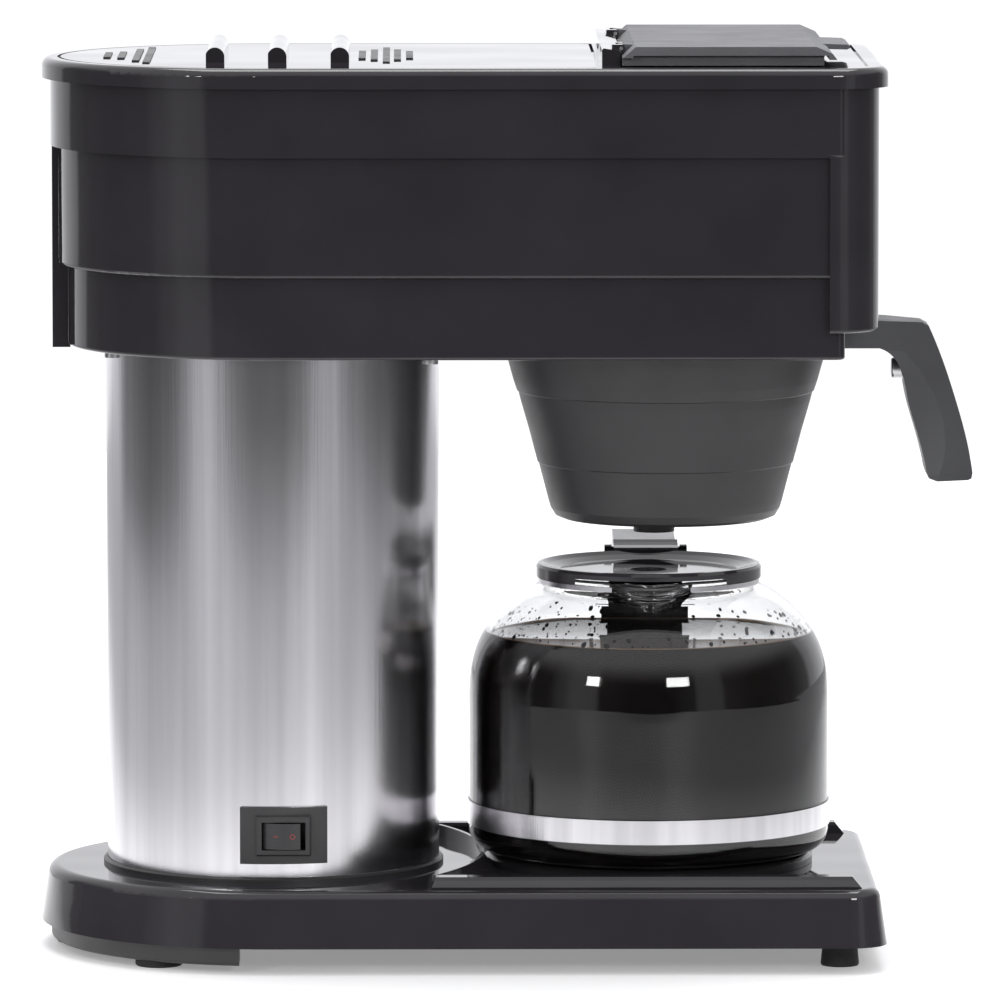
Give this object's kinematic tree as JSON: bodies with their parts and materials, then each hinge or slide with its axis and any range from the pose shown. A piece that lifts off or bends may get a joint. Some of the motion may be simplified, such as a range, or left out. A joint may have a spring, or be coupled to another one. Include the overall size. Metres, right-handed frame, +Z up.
{
  "type": "commercial coffee brewer",
  "caption": "Drip coffee brewer: tank column and long upper housing over a flat base with a warmer plate, slide-out brew funnel and glass carafe with flip lid.",
  "frame": {"origin": "on the counter plane, under the axis of the round tank column, in the machine's plane of symmetry", "axes": "+X to the front, where the funnel handle is, +Y to the machine's left, where the carafe's handle points, +Z up"},
  "size_m": [0.3567, 0.2016, 0.3484],
  "materials": {
    "gloss_black": "polished",
    "matte_black": "satin",
    "funnel_plastic": "fine texture",
    "carafe_plastic": "satin",
    "bowl_plastic": "satin",
    "brushed_steel": "brushed",
    "plain_steel": "satin",
    "rubber": "matte",
    "silicone": "matte",
    "foam": "matte",
    "brass": "satin",
    "warmer_enamel": "gloss enamel",
    "glass": "clear",
    "rocker_black": "satin"
  },
  "bodies": {
    "machine": {"base_shell": "gloss_black", "base_bottom_cover": "matte_black", "base_screws": "plain_steel", "rear_plinth": "matte_black", "rear_pads": "rubber", "front_feet": "rubber", "cord_bushing": "matte_black", "terminal_block": "matte_black", "warmer_plate": "warmer_enamel", "warmer_heater": "plain_steel", "warmer_insulator": "foam", "warmer_retainer": "plain_steel", "warmer_screw": "plain_steel", "tank_shell": "brushed_steel", "tank_seat_ring": "matte_black", "tank_vessel": "plain_steel", "tank_gasket": "rubber", "tank_lid": "plain_steel", "tank_insulation": "foam", "heating_element": "plain_steel", "element_nuts": "brass", "thermostat": "plain_steel", "limit_thermostat": "plain_steel", "tank_fill_tube": "plain_steel", "brew_tube": "plain_steel", "reservoir_hose": "silicone", "sprayhead": "plain_steel", "spray_fitting": "brass", "switch_bezel": "matte_black", "switch_body": "matte_black", "housing_shell": "gloss_black", "rear_spine": "gloss_black", "hood_plate": "matte_black", "funnel_rails": "matte_black", "housing_screws": "plain_steel", "top_cover": "gloss_black", "vent_louvres": "gloss_black", "deck_label": "gloss_black", "hinge_bar": "gloss_black", "lid_hinge_pins": "plain_steel", "reservoir_bowl": "bowl_plastic", "reservoir_seal": "rubber", "valve_seat": "matte_black"},
    "lid": {"reservoir_lid": "gloss_black", "lid_plunger": "matte_black"},
    "valve": {"valve_stem": "plain_steel", "valve_washer": "rubber", "valve_spring": "plain_steel"},
    "funnel": {"funnel_body": "funnel_plastic", "funnel_basket": "brushed_steel", "funnel_handle": "funnel_plastic", "handle_screw": "plain_steel"},
    "carafe": {"carafe_glass": "glass", "carafe_band": "brushed_steel", "carafe_collar": "brushed_steel", "carafe_handle": "carafe_plastic", "carafe_handle_screw": "plain_steel"},
    "flip_lid": {"carafe_lid": "gloss_black"},
    "rocker": {"switch_rocker": "rocker_black"}
  },
  "joints": [
    {"name": "lid_hinge", "type": "hinge", "parent": "machine", "child": "lid", "pos_m": [0.1319, 0, 0.3469], "axis": [0, -1, 0], "range_deg": [0, 100]},
    {"name": "valve_slide", "type": "slide", "parent": "machine", "child": "valve", "axis": [0, 0, 1], "range_m": [0, 0.006], "deforming": ["valve_spring"]},
    {"name": "funnel_slide", "type": "slide", "parent": "machine", "child": "funnel", "axis": [1, 0, 0], "range_m": [0, 0.15]},
    {"name": "carafe_slide", "type": "slide", "parent": "machine", "child": "carafe", "axis": [1, 0, 0], "range_m": [0, 0.2]},
    {"name": "flip_lid_hinge", "type": "hinge", "parent": "carafe", "child": "flip_lid", "pos_m": [0.144, 0.048, 0.146], "axis": [-1, 0, 0], "range_deg": [0, 10]},
    {"name": "rocker_hinge", "type": "hinge", "parent": "machine", "child": "rocker", "pos_m": [0.0046, -0.062, 0.0497], "axis": [0, 0, 1], "range_deg": [0, 18]}
  ],
  "couplings": [
    {"joint": "valve_slide", "follows": "lid_hinge", "m_per_rad": 0.003437}
  ]
}
